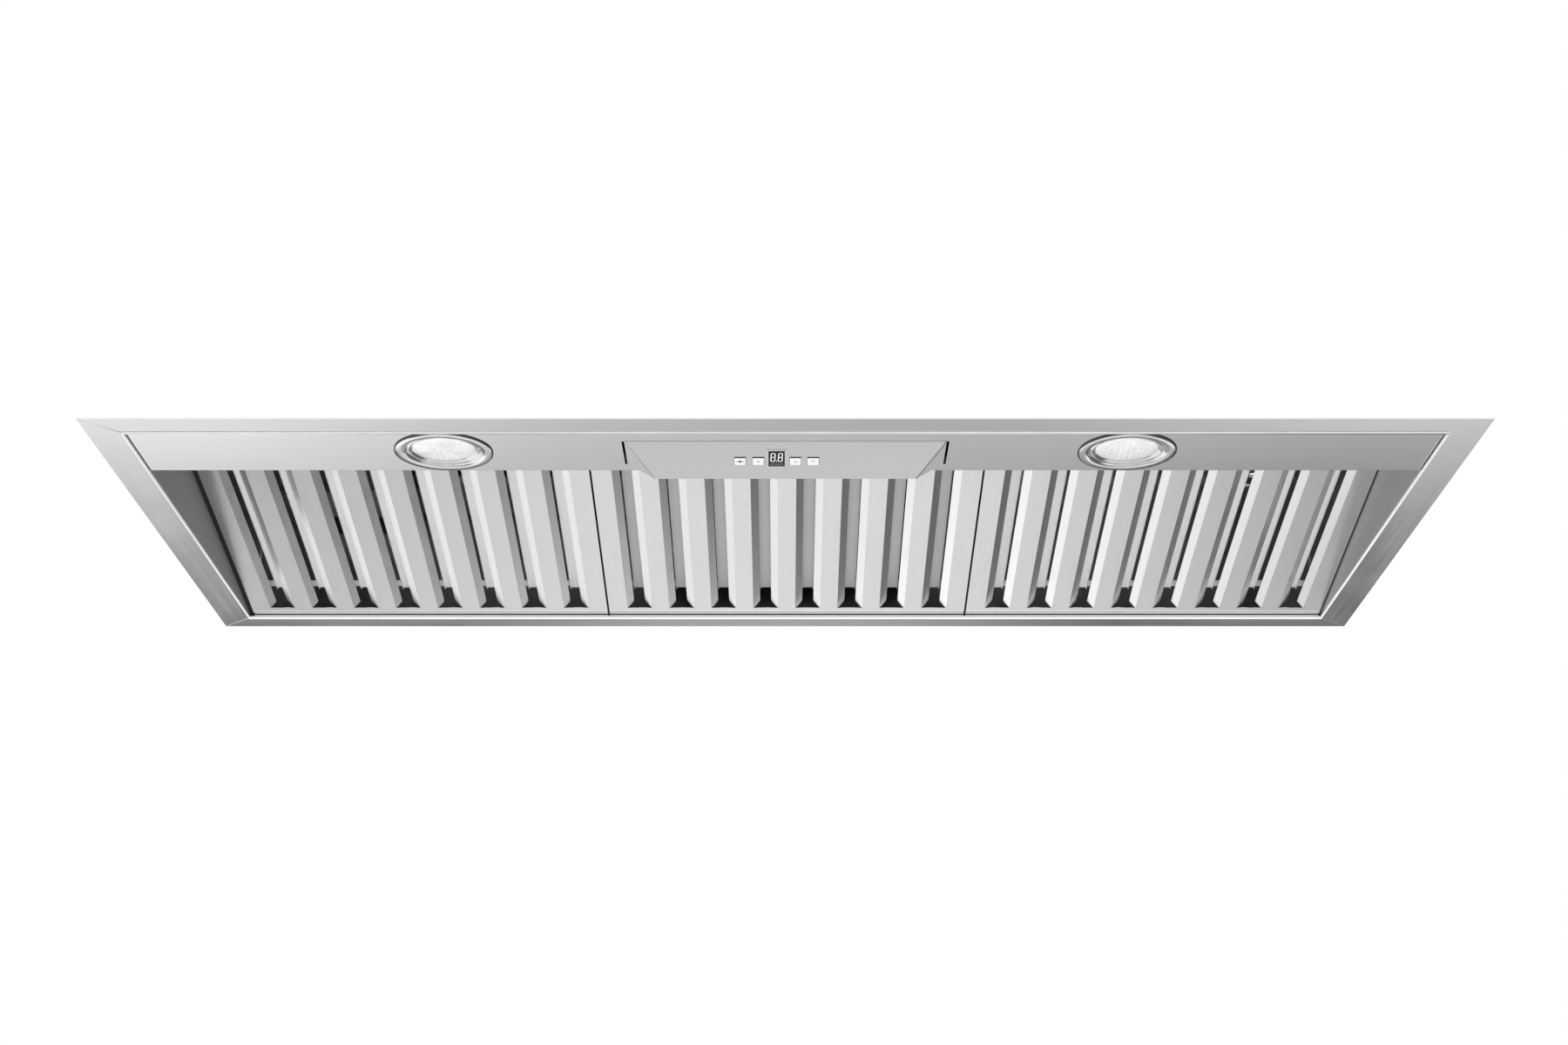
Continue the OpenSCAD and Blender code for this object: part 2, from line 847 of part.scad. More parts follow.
module damper_pin() {
    color(steel_mid) translate([0, yd(flap_pin_d), flap_pin_z])
        rod_x(-duct_w / 2 - 3, duct_w / 2 + 3, flap_pin_r);
}

// Light flap that lies closed across the collar and lifts in the air stream
module damper_flap() {
    half = duct_w / 2 - duct_t - 1;
    color(galvanised) translate([0, yd(flap_pin_d), flap_pin_z]) difference() {
        union() {
            rod_x(-half, half, flap_pin_r + flap_hub);
            box3(-half, half, 0, duct_d1 - flap_pin_d - duct_t - 1.2,
                -flap_pin_r - flap_hub, -flap_pin_r - flap_hub + flap_t);
        }
        rod_x(-half - 1, half + 1, flap_pin_r + bush_gap);
    }
}

// ---- electrics --------------------------------------------------------

module junction_box() {
    color(galvanised) difference() {
        span_z(box_z0, under_top) box2(box_x0, box_x1, box_d0, box_d1);
        span_z(box_z0 - 1, under_top - box_t)
            box2(box_x0 + box_t, box_x1 - box_t, box_d0 + box_t, box_d1 - box_t);
        translate([gland_x, yd(gland_d), under_top - 3]) cylinder(h = 5, r = gland_r + 0.1);
        translate([box_x1, yd(gland_d), entry_z]) rod_x(-3, 3, entry_r);
        translate([run_x, yd(box_d0), entry_z]) rotate([90, 0, 0])
            cylinder(h = 6, r = entry_r, center = true);
    }
}

module junction_cover() {
    color(galvanised) difference() {
        span_z(box_z0 - 1, box_z0) box2(box_x0 - 3, box_x1 + 3, box_d0 - 3, box_d1 + 3);
        for (x = [box_x0 + 8, box_x1 - 8]) translate([x, yd(gland_d), box_z0 - 2]) cylinder(h = 4, r = 2);
    }
}

module terminal_block() {
    color(key_white) difference() {
        span_z(box_z0 + 0.2, box_z0 + 18) box2(-485, -430, 490, 512);
        for (x = [-478 : 10 : -436]) span_z(box_z0 + 10, box_z0 + 20) box2(x - 3, x + 3, 493, 509);
    }
}

// Threaded gland that the house wiring comes down through
module cable_gland() {
    color(part_black) translate([gland_x, yd(gland_d), 0]) difference() {
        union() {
            translate([0, 0, under_top - 7]) cylinder(h = 14, r = gland_r);
            translate([0, 0, body_h]) cylinder(h = 3, r = gland_r + 4);
            translate([0, 0, body_h + 3]) cylinder(h = gland_nut, r = gland_r + 2, $fn = 6);
        }
        translate([0, 0, under_top - 8]) cylinder(h = 24, r = gland_bore);
    }
}

module led_driver() {
    color(key_white) translate([driver_x, yd(driver_d), driver_z]) rotate([driver_tilt, 0, 0])
        box3(-driver_half, driver_half, -16, 22, 0, 17);
}

// Sleeved runs of wire: box to motor, box to driver over the filters, driver to keys
module wire_run(a, b) {
    run = b - a;
    translate(a) rotate([0, acos(run[2] / norm(run)), atan2(run[1], run[0])])
        cylinder(h = norm(run), r = wire_r);
}

module wire_harness() {
    color(part_black) {
        wire_run([box_x1 - 8, yd(gland_d), entry_z], [-housing_half - 0.5, yd(gland_d), entry_z]);
        span_x(run_x - wire_r, run_x + wire_r) polygon([[478, entry_z - wire_r], [400, 140 - wire_r],
            [239, 89 - wire_r], [150, 50 - wire_r], [150, 50 + wire_r], [239, 89 + wire_r],
            [400, 140 + wire_r], [478, entry_z + wire_r]]);
        wire_run([run_x + 4, yd(driver_d - 4), 48], [-356, yd(driver_d), 43]);
        wire_run([-243, yd(150), 44], [-80, yd(95), 21]);
    }
}

// Pan-head screws: skirts of the cover, flange of the collar
module body_screws() {
    color(steel_mid) {
        for (s = [-1, 1]) for (d = screw_d) translate([s * (out_x + sheet), yd(d),
            min(body_h, front_h + slope * (d - front_d)) - screw_drop])
                rotate([0, s * 90, 0]) cylinder(h = screw_h, r = screw_r);
        for (x = [-duct_w / 2 - 8, duct_w / 2 + 8]) for (d = [duct_d0 + 12, duct_d1 - 12])
            translate([x, yd(d), body_h + 1]) cylinder(h = screw_h, r = screw_r);
    }
}

front_rail();
rear_rail();
left_side();
right_side();
top_cover();
light_strip();
inner_panel();
filter_rail();
catch_clips();
control_fascia();
display_bezel();
display_module();
light_key();
minus_key();
plus_key();
power_key();
control_board();
key_switches();
board_posts();
light_bezel_left();
light_bezel_right();
light_lens_left();
light_lens_right();
light_housing_left();
light_housing_right();
light_board_left();
light_board_right();
light_springs_left();
light_springs_right();
filter_frame_left();
filter_frame_middle();
filter_frame_right();
filter_baffles_left();
filter_baffles_middle();
filter_baffles_right();
filter_studs_left();
filter_studs_middle();
filter_studs_right();
filter_pull_left();
filter_pull_middle();
filter_pull_right();
blower_housing();
inlet_rings();
impeller_left();
impeller_right();
motor_shell();
motor_shaft();
shaft_bushes();
motor_bracket();
capacitor();
duct_collar();
damper_flap();
damper_pin();
junction_box();
junction_cover();
terminal_block();
cable_gland();
led_driver();
wire_harness();
body_screws();
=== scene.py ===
"""Low insert range hood: finishes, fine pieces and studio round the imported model."""
import json
import math

import bmesh
import bpy
from mathutils import Matrix, Vector


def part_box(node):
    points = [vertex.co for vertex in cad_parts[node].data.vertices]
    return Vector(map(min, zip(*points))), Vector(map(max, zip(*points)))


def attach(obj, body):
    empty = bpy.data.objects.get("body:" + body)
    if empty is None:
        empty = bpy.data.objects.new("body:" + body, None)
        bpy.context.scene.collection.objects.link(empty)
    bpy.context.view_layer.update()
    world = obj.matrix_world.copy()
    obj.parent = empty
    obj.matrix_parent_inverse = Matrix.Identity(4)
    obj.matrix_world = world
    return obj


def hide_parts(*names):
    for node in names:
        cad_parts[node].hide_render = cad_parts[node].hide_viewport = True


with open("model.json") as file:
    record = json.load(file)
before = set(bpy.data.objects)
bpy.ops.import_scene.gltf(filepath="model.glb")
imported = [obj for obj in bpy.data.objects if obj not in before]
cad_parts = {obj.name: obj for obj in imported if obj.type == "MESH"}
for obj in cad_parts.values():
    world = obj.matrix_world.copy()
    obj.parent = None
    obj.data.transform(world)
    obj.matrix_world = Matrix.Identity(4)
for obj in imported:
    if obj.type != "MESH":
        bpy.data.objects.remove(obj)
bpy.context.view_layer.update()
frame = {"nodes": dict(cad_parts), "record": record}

MM = 0.001
SIDES = ("left", "middle", "right")
LIGHTS = ("left", "right")


# ---- camera, studio ---------------------------------------------------------

# Place in metres, turns in degrees, lens and sensor in millimetres.
EYE = (-0.0009, -2.1351, -0.7644)
LOOK_UP = 19.965
LOOK_LEFT = 0.009
LENS = 55.26
SENSOR = 36

# Bands of the room that the metal mirrors. Each one reads one axis of the direction looked in:
# the two values it changes between, then the level at either end.
BANDS = {
    "foreground": (-0.44, -0.27, 1.0, 0.08),
    "left_to_right": (-0.30, 0.06, 1.12, 0.66),
    "upper_foreground": (-0.39, -0.33, 1.0, 0.0),
    "lift_on_right": (0.06, 0.29, 0.0, 0.92),
    "lift_on_left": (-0.29, -0.06, 0.48, 0.0),
    "far_right": (0.08, 0.24, 0.0, 0.45),
    "far_right_height": (-0.35, -0.30, 0.0, 1.0),
    "far_glow": (0.02, 0.16, 0.36, 0.0),
    "far_glow_height": (-0.34, -0.30, 0.0, 1.0),
    "deep": (-0.60, -0.46, 1.0, 0.0),
    "deep_glow": (0.04, 0.33, 0.86, 0.24),
    "straight_down": (-0.90, -0.76, 1.0, 0.0),
    "card_top": (-0.52, -0.45, 1.0, 0.0),
    "card_foot": (-0.76, -0.68, 0.0, 1.0),
    "card_near": (0.25, 0.33, 0.0, 1.0),
    "card_far": (0.34, 0.42, 0.0, 1.0),
    "over": (-0.19, -0.08, 0.0, 1.0),
    "sky": (0.0, 0.8, 0.55, 0.85),
    "behind": (-0.25, 0.05, 1.0, 0.0),
    "behind_height": (-0.85, -0.70, 0.0, 1.0),
}
DOWN_LEVEL = 0.62
CARD_LEVELS = ((1, 0.15), (-1, 1.0))
BEHIND_LEVEL = 1.05

# Soft lamps: name, place and width in metres, and watts.
FILLS = (
    ("fill_front", (0, -2.4, -1.9), 2.6, 85),
    ("fill_left", (-2.6, -0.6, -1.4), 1.8, 22),
    ("fill_top", (0.6, -0.8, 3.0), 3.0, 70),
    ("fill_back", (0.4, 3.2, 1.4), 2.4, 45),
)

FLOOR_LEVEL = -4.6
FLOOR_RADIUS = 30


def make_camera():
    """Camera low in front of the hood, looking up into it."""
    data = bpy.data.cameras.new("camera")
    data.sensor_width = SENSOR
    data.lens = LENS
    data.clip_start = 0.05
    data.clip_end = 60
    camera = bpy.data.objects.new("camera", data)
    camera.location = EYE
    camera.rotation_euler = (math.radians(90 + LOOK_UP), 0, math.radians(LOOK_LEFT))
    bpy.context.scene.collection.objects.link(camera)
    bpy.context.scene.camera = camera


def feed(tree, socket, value):
    """Sets a socket to a number, or links another node's output to it."""
    if isinstance(value, (int, float)):
        socket.default_value = value
    else:
        tree.links.new(value, socket)


def ramp_between(tree, value, low, high, start, end):
    """Smooth step from start to end while value goes from low to high."""
    made = tree.nodes.new("ShaderNodeMapRange")
    made.interpolation_type = "SMOOTHSTEP"
    made.inputs["From Min"].default_value = low
    made.inputs["From Max"].default_value = high
    made.inputs["To Min"].default_value = start
    made.inputs["To Max"].default_value = end
    tree.links.new(value, made.inputs["Value"])
    return made.outputs["Result"]


def maths(tree, operation, *values):
    """One maths node over numbers or sockets."""
    made = tree.nodes.new("ShaderNodeMath")
    made.operation = operation
    for socket, value in zip(made.inputs, values):
        feed(tree, socket, value)
    return made.outputs[0]


def blend_values(tree, factor, first, second):
    """Value that goes from first to second with factor."""
    made = tree.nodes.new("ShaderNodeMix")
    made.data_type = "FLOAT"
    tree.links.new(factor, made.inputs[0])
    feed(tree, made.inputs[2], first)
    feed(tree, made.inputs[3], second)
    return made.outputs[0]


def lower_room(tree, x, z):
    """What the metal mirrors under eye level."""
    def band(name, value):
        return ramp_between(tree, value, *BANDS[name])

    def times(first, second):
        return maths(tree, "MULTIPLY", first, second)

    width = maths(tree, "ABSOLUTE", x)
    level = times(band("foreground", z), band("left_to_right", x))
    lift = maths(tree, "ADD", band("lift_on_right", x), band("lift_on_left", x))
    level = times(level, maths(tree, "MULTIPLY_ADD", band("upper_foreground", z), lift, 1.0))
    far_right = times(band("far_right", x), band("far_right_height", z))
    level = times(level, maths(tree, "SUBTRACT", 1.0, far_right))
    far_glow = times(band("far_glow", width), band("far_glow_height", z))
    level = maths(tree, "ADD", level, far_glow)
    level = blend_values(tree, band("deep", z), level, band("deep_glow", width))
    level = blend_values(tree, band("straight_down", z), level, DOWN_LEVEL)
    card_top = band("card_top", z)
    card_foot = band("card_foot", z)
    for sign, card_level in CARD_LEVELS:
        outward = times(x, sign)
        card = times(band("card_near", outward), card_top)
        card = maths(tree, "MAXIMUM", card, band("card_far", outward))
        level = blend_values(tree, times(card, card_foot), level, card_level)
    return level


def make_world():
    """White backdrop for the eye; soft, graded room for the metal."""
    world = bpy.data.worlds.new("studio")
    world.use_nodes = True
    tree = world.node_tree
    tree.nodes.clear()
    coords = tree.nodes.new("ShaderNodeTexCoord")
    split = tree.nodes.new("ShaderNodeSeparateXYZ")
    tree.links.new(coords.outputs["Generated"], split.inputs[0])
    x, y, z = split.outputs
    sky = ramp_between(tree, z, *BANDS["sky"])
    over = ramp_between(tree, z, *BANDS["over"])
    room = blend_values(tree, over, lower_room(tree, x, z), sky)
    behind = maths(tree, "MULTIPLY", ramp_between(tree, y, *BANDS["behind"]),
                   ramp_between(tree, z, *BANDS["behind_height"]))
    room = blend_values(tree, behind, room, BEHIND_LEVEL)
    path = tree.nodes.new("ShaderNodeLightPath")
    level = blend_values(tree, path.outputs["Is Camera Ray"], room, 1.0)
    background = tree.nodes.new("ShaderNodeBackground")
    tree.links.new(level, background.inputs["Strength"])
    background.inputs["Color"].default_value = (1, 1, 1, 1)
    output = tree.nodes.new("ShaderNodeOutputWorld")
    tree.links.new(background.outputs[0], output.inputs[0])
    bpy.context.scene.world = world
    bpy.context.scene.view_settings.view_transform = "Standard"


def make_fills():
    """Soft lamps that no metal mirrors."""
    for name, place, size, watts in FILLS:
        data = bpy.data.lights.new(name, "AREA")
        data.size = size
        data.energy = watts
        lamp = bpy.data.objects.new(name, data)
        lamp.location = place
        lamp.rotation_euler = (-Vector(place)).to_track_quat("-Z", "Y").to_euler()
        lamp.visible_glossy = False
        lamp.visible_camera = False
        bpy.context.scene.collection.objects.link(lamp)


def make_floor():
    """Plain pale floor, far enough down to stay out of sight from below."""
    mesh = bpy.data.meshes.new("floor")
    build = bmesh.new()
    bmesh.ops.create_circle(build, cap_ends=True, segments=128, radius=FLOOR_RADIUS)
    bmesh.ops.translate(build, vec=(0, 0, FLOOR_LEVEL), verts=build.verts)
    build.to_mesh(mesh)
    build.free()
    floor = bpy.data.objects.new("floor", mesh)
    bpy.context.scene.collection.objects.link(floor)
    material, tree, shader = new_material("pale_floor")
    shader.inputs["Base Color"].default_value = (0.86, 0.86, 0.86, 1)
    shader.inputs["Roughness"].default_value = 0.9
    mesh.materials.append(material)
    floor.visible_glossy = False
    floor.visible_diffuse = False


# ---- finishes ---------------------------------------------------------------

# Waves per metre along the brushing and across it, the coarser marks' share of that, and depth.
GRAIN_ALONG = 5.0
GRAIN_ACROSS = 900.0
COARSE_SHARE = 0.2
GRAIN_DEPTH = 0.03 * MM
STEEL_WARMTH = (1.01, 1.005, 1.0)

# Unpolished steel, whose darker tone is painted shade, and the height over which the polish gives way
# to it.
DULL_TONE = (0.36, 0.36, 0.365)
DULL_ROUGH = 0.50
DULL_METAL = 0.55
DULL_BLEND = 0.6 * MM


def new_material(name):
    """Material, its node tree and its shader."""
    material = bpy.data.materials.new(name)
    material.use_nodes = True
    tree = material.node_tree
    return material, tree, tree.nodes["Principled BSDF"]


def grain_noise(tree, per_metre, detail=3.0, shift=(0, 0, 0)):
    """Noise in the object's own coordinates, so many waves per metre along X, Y and Z."""
    coords = tree.nodes.new("ShaderNodeTexCoord")
    mapping = tree.nodes.new("ShaderNodeMapping")
    mapping.inputs["Scale"].default_value = per_metre
    mapping.inputs["Location"].default_value = shift
    tree.links.new(coords.outputs["Object"], mapping.inputs["Vector"])
    noise = tree.nodes.new("ShaderNodeTexNoise")
    noise.inputs["Scale"].default_value = 1.0
    noise.inputs["Detail"].default_value = detail
    noise.inputs["Roughness"].default_value = 0.55
    tree.links.new(mapping.outputs[0], noise.inputs["Vector"])
    return noise.outputs["Fac"]


def cell_pattern(tree, per_metre):
    """Cells in the object's own coordinates."""
    coords = tree.nodes.new("ShaderNodeTexCoord")
    cells = tree.nodes.new("ShaderNodeTexVoronoi")
    cells.inputs["Scale"].default_value = per_metre
    tree.links.new(coords.outputs["Object"], cells.inputs["Vector"])
    return cells


def object_axes(tree):
    """X, Y and Z of the object's own coordinates."""
    coords = tree.nodes.new("ShaderNodeTexCoord")
    split = tree.nodes.new("ShaderNodeSeparateXYZ")
    tree.links.new(coords.outputs["Object"], split.inputs[0])
    return split.outputs


def spread(tree, value, low, high, start=0.3, end=0.7):
    """Value from start..end laid out over low..high."""
    made = tree.nodes.new("ShaderNodeMapRange")
    made.inputs["From Min"].default_value = start
    made.inputs["From Max"].default_value = end
    made.inputs["To Min"].default_value = low
    made.inputs["To Max"].default_value = high
    tree.links.new(value, made.inputs["Value"])
    return made.outputs["Result"]


def two_tone(tree, factor, dark, light):
    """Colour that goes from dark to light with factor."""
    made = tree.nodes.new("ShaderNodeMix")
    made.data_type = "RGBA"
    made.inputs[6].default_value = (*dark, 1)
    made.inputs[7].default_value = (*light, 1)
    tree.links.new(factor, made.inputs[0])
    return made.outputs[2]


def mixed_colour(tree, factor, first, second):
    """Colour that goes from first, a socket, to a plain second one with factor."""
    made = tree.nodes.new("ShaderNodeMix")
    made.data_type = "RGBA"
    tree.links.new(factor, made.inputs[0])
    tree.links.new(first, made.inputs[6])
    made.inputs[7].default_value = (*second, 1)
    return made.outputs[2]


def cloud_colour(tree, shader, cloud, colour, darkest):
    """Base colour that drifts with a cloud down to so much of itself."""
    dark = tuple(v * darkest for v in colour)
    tone = two_tone(tree, spread(tree, cloud, 0, 1), dark, colour)
    tree.links.new(tone, shader.inputs["Base Color"])


def vary_roughness(tree, shader, pattern, low, high):
    """Roughness that goes from low to high with a pattern."""
    tree.links.new(spread(tree, pattern, low, high), shader.inputs["Roughness"])


def add_bump(tree, shader, height, strength, distance):
    """Relief of so much depth, in metres."""
    bump = tree.nodes.new("ShaderNodeBump")
    bump.inputs["Strength"].default_value = strength
    bump.inputs["Distance"].default_value = distance
    tree.links.new(height, bump.inputs["Height"])
    tree.links.new(bump.outputs[0], shader.inputs["Normal"])


def grain_scale(along, across):
    """Waves per metre of a grain that runs along one axis."""
    return tuple(GRAIN_ALONG if axis == along else across for axis in "XYZ")


def brushed_steel(name, tone, rough, along="X", grain=0.10, dull_over=None, fade=None):
    """Sheet with a grain along one axis and a cloudy polish.

    Above the dulling height the sheet is left unpolished, rougher and less metallic, and its tone is
    darkened there as painted shade.
    The fade is painted shade along X: where it starts, where it ends, and what is left of the tone
    there.
    """
    material, tree, shader = new_material(name)
    fine = grain_noise(tree, grain_scale(along, GRAIN_ACROSS), detail=4.0)
    wide = grain_noise(tree, grain_scale(along, GRAIN_ACROSS * COARSE_SHARE), detail=2.0)
    cloud = grain_noise(tree, (9, 9, 9), shift=(3, 1, 2))
    smear = maths(tree, "MULTIPLY", cloud, wide)
    shader.inputs["Metallic"].default_value = 1.0
    light = tuple(min(1.0, tone * share) for share in STEEL_WARMTH)
    dark = tuple(v * 0.97 for v in light)
    colour = two_tone(tree, spread(tree, fine, 0, 1), dark, light)
    polish = spread(tree, smear, rough - 0.02, rough + 0.04, 0.12, 0.42)
    # Painted shade: the tone darkens along X from start to end, down to what is left of it.
    if fade is not None:
        start, end, left_over = fade
        drift = ramp_between(tree, object_axes(tree)[0], start, end, 0.0, 1.0)
        colour = mixed_colour(tree, drift, colour, tuple(v * left_over for v in light))
    if dull_over is not None:
        # Painted shade: above this height the tone falls to the dark tone, while roughness rises and
        # metal falls.
        z = object_axes(tree)[2]
        dull = ramp_between(tree, z, dull_over, dull_over + DULL_BLEND, 0.0, 1.0)
        colour = mixed_colour(tree, dull, colour, DULL_TONE)
        polish = blend_values(tree, dull, polish, DULL_ROUGH)
        metal = maths(tree, "MULTIPLY_ADD", dull, DULL_METAL - 1.0, 1.0)
        tree.links.new(metal, shader.inputs["Metallic"])
    tree.links.new(colour, shader.inputs["Base Color"])
    tree.links.new(polish, shader.inputs["Roughness"])
    add_bump(tree, shader, fine, grain, GRAIN_DEPTH)
    return material


def satin_sheet(name, tone, rough):
    """Dull, pickled sheet that scatters most of the light it gets."""
    material, tree, shader = new_material(name)
    cloud = grain_noise(tree, (25, 8, 25))
    fine = grain_noise(tree, (700, 12, 700))
    shader.inputs["Metallic"].default_value = 0.1
    cloud_colour(tree, shader, cloud, (tone,) * 3, 0.95)
    vary_roughness(tree, shader, fine, rough - 0.04, rough + 0.06)
    add_bump(tree, shader, fine, 0.08, GRAIN_DEPTH)
    return material


def galvanised():
    """Zinc with faint spangles."""
    material, tree, shader = new_material("galvanised")
    cells = cell_pattern(tree, 95)
    tone = tree.nodes.new("ShaderNodeSeparateColor")
    tree.links.new(cells.outputs["Color"], tone.inputs[0])
    spangle = tone.outputs[0]
    cloud = grain_noise(tree, (14, 14, 14))
    shader.inputs["Metallic"].default_value = 1.0
    colour = two_tone(tree, spangle, (0.46, 0.48, 0.50), (0.62, 0.64, 0.66))
    tree.links.new(colour, shader.inputs["Base Color"])
    rough = maths(tree, "MULTIPLY_ADD", spangle, 0.12, spread(tree, cloud, 0.30, 0.42))
    tree.links.new(rough, shader.inputs["Roughness"])
    add_bump(tree, shader, cloud, 0.05, 0.4 * MM)
    return material


def plain_metal(name, colour, rough, waves=400.0):
    """Turned, drawn or plated metal with fine marks."""
    material, tree, shader = new_material(name)
    marks = grain_noise(tree, (waves, waves, waves))
    cloud = grain_noise(tree, (30, 30, 30))
    shader.inputs["Metallic"].default_value = 1.0
    cloud_colour(tree, shader, cloud, colour, 0.88)
    vary_roughness(tree, shader, marks, rough - 0.05, rough + 0.07)
    add_bump(tree, shader, marks, 0.06, 0.08 * MM)
    return material


def moulded(name, colour, rough, coat=0.0, texture=0.12, waves=1400.0):
    """Moulded plastic, paint or laminate: fine orange peel and a slow drift of tone."""
    material, tree, shader = new_material(name)
    peel = grain_noise(tree, (waves, waves, waves), detail=2.0)
    cloud = grain_noise(tree, (22, 22, 22))
    cloud_colour(tree, shader, cloud, colour, 0.90)
    vary_roughness(tree, shader, peel, rough - 0.05, rough + 0.06)
    shader.inputs["Coat Weight"].default_value = coat
    shader.inputs["Coat Roughness"].default_value = 0.06
    add_bump(tree, shader, peel, texture, 0.06 * MM)
    return material


def frosted_glass(name):
    """Lens moulded with small prisms, frosted white and faintly lit."""
    material, tree, shader = new_material(name)
    cells = cell_pattern(tree, 420)
    cloud = grain_noise(tree, (60, 60, 60))
    colour = two_tone(tree, spread(tree, cloud, 0, 1), (0.56, 0.57, 0.57), (0.74, 0.74, 0.74))
    tree.links.new(colour, shader.inputs["Base Color"])
    vary_roughness(tree, shader, cloud, 0.10, 0.26)
    shader.inputs["Emission Color"].default_value = (1, 1, 1, 1)
    shader.inputs["Emission Strength"].default_value = 0.06
    shader.inputs["Coat Weight"].default_value = 0.6
    shader.inputs["Coat Roughness"].default_value = 0.05
    add_bump(tree, shader, cells.outputs["Distance"], 0.15, 0.6 * MM)
    return material


# ---- piece building ---------------------------------------------------------

def finished(build, name, materials, body, smooth=True, angle=35):
    """Turns a bmesh into a piece that rides on a body."""
    mesh = bpy.data.meshes.new(name)
    build.to_mesh(mesh)
    build.free()
    for material in materials:
        mesh.materials.append(material)
    if smooth:
        mesh.shade_smooth()
        mesh.set_sharp_from_angle(angle=math.radians(angle))
    piece = bpy.data.objects.new(name, mesh)
    bpy.context.scene.collection.objects.link(piece)
    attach(piece, body)
    return piece


def grow_island(verts):
    """All the vertices joined to these."""
    island = set(verts)
    waiting = list(island)
    while waiting:
        for edge in waiting.pop().link_edges:
            for vert in edge.verts:
                if vert not in island:
                    island.add(vert)
                    waiting.append(vert)
    return island


def rounded_block(build, size, centre, radius, segments, place):
    """Box with all its edges rounded, made in metres and then set in place."""
    made = bmesh.ops.create_cube(build, size=1.0)["verts"]
    bmesh.ops.scale(build, vec=size, verts=made)
    bmesh.ops.translate(build, vec=centre, verts=made)
    edges = list({edge for vert in made for edge in vert.link_edges})
    bevelled = bmesh.ops.bevel(build, geom=edges, offset=radius, offset_type="OFFSET", affect="EDGES",
                               segments=segments, profile=0.5, material=-1, clamp_overlap=True)
    parts = {vert for face in bevelled["faces"] for vert in face.verts}
    bmesh.ops.transform(build, matrix=place, verts=list(grow_island(parts)))


def block_mm(build, size, centre, radius, segments, place):
    """Rounded block with its measures in millimetres."""
    rounded_block(build, [v * MM for v in size], [v * MM for v in centre], radius * MM, segments, place)


def bar_between(build, start, end, section, radius, spare=0.0, rise=0.0):
    """Rounded bar from start to end, shorter than that by spare and lifted off the line by rise."""
    along = end - start
    turn = along.to_track_quat("X", "Z").to_matrix().to_4x4()
    place = Matrix.Translation((start + end) / 2) @ turn
    rounded_block(build, (along.length - spare, *section), (0, 0, rise), radius, 3, place)


def closed_loop(build, verts):
    """Edges from each vertex to the next, and from the last to the first."""
    return [build.edges.new((vert, verts[(i + 1) % len(verts)])) for i, vert in enumerate(verts)]


def turned(build, outline, centre, segments=96):
    """Fills an empty bmesh with a ring turned about Z from an (r, z) outline in millimetres."""
    verts = [build.verts.new((r * MM, 0, z * MM)) for r, z in outline]
    edges = closed_loop(build, verts)
    bmesh.ops.spin(build, geom=verts + edges, cent=(0, 0, 0), axis=(0, 0, 1), dvec=(0, 0, 0),
                   angle=math.tau, steps=segments, use_merge=True, use_duplicate=False)
    bmesh.ops.remove_doubles(build, verts=build.verts[:], dist=0.05 * MM)
    bmesh.ops.translate(build, vec=centre, verts=build.verts[:])
    bmesh.ops.recalc_face_normals(build, faces=build.faces[:])


def extruded(build, outline, depth, place):
    """Flat outline in millimetres pulled up by depth, then set in place."""
    verts = [build.verts.new((x * MM, y * MM, 0)) for x, y in outline]
    face = build.faces.new(verts)
    made = bmesh.ops.extrude_face_region(build, geom=[face])["geom"]
    top = [v for v in made if isinstance(v, bmesh.types.BMVert)]
    bmesh.ops.translate(build, vec=(0, 0, depth * MM), verts=top)
    island = grow_island(top)
    bmesh.ops.transform(build, matrix=place, verts=list(island))
    bmesh.ops.recalc_face_normals(build, faces=list({f for v in island for f in v.link_faces}))


def centre_of(node):
    """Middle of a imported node's box."""
    low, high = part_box(node)
    return (Vector(low) + Vector(high)) / 2


def joint_of(name):
    """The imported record's entry of a joint."""
    joints = frame["record"]["behaviour"]["joints"]
    return next(joint for joint in joints if joint["name"] == name)


# ---- rim, painted gap shade and folds ------------------------------------------

# The opening's edge in from the rim's front and rear edges, and out from the light strip's end.
HEM_FRONT = 30.4 * MM
HEM_REAR = 29.5 * MM
HEM_SIDE = 0.75 * MM

# The bead along that edge: its flat top, its radius, and its half width as a share of that.
HEM_LEVEL = -1.2 * MM
HEM_RADIUS = 1.5 * MM
HEM_SPREAD = 0.7
HEM_STEPS = 8

# The seams over the mitres: width and thickness, how much shorter than the mitre, and level.
SEAM_SECTION = (0.7 * MM, 0.5 * MM)
SEAM_SPARE = 2.4 * MM
SEAM_LEVEL = -1.25 * MM
SEAM_ROUND = 0.2 * MM

# The filters' slope in degrees; the length, thickness and place along and over it of the dark bars that
# paint the shade in the gaps beside the outer filters; how far past the strip's end the side wall is,
# and how much narrower than its gap each bar is.
FILTER_TILT = -10.5
SEAL_LENGTH = 312 * MM
SEAL_THICK = 2.0 * MM
SEAL_MIDDLE = -152 * MM
SEAL_RISE = 3.4 * MM
SEAL_ROUND = 0.3 * MM
WALL_OUT = 0.1 * MM
SEAL_SLACK = 0.3 * MM

# The sloping panel: how far its front edge is behind the rim's, and its height there; how far
# back it runs, and how much narrower it is there on each side.
PANEL_FRONT = 53.5 * MM
PANEL_FOOT = 0.3 * MM
PANEL_RUN = 46 * MM
PANEL_TAPER = 24.2 * MM

# The bars along its folds, and the one along its front edge.
FOLD_SECTION = (0.9 * MM, 0.9 * MM)
FOLD_ROUND = 0.3 * MM
FRONT_SEAM_WIDE = 0.6 * MM
FRONT_SEAM_DEEP = 0.5 * MM
FRONT_SEAM_SPARE = 1 * MM


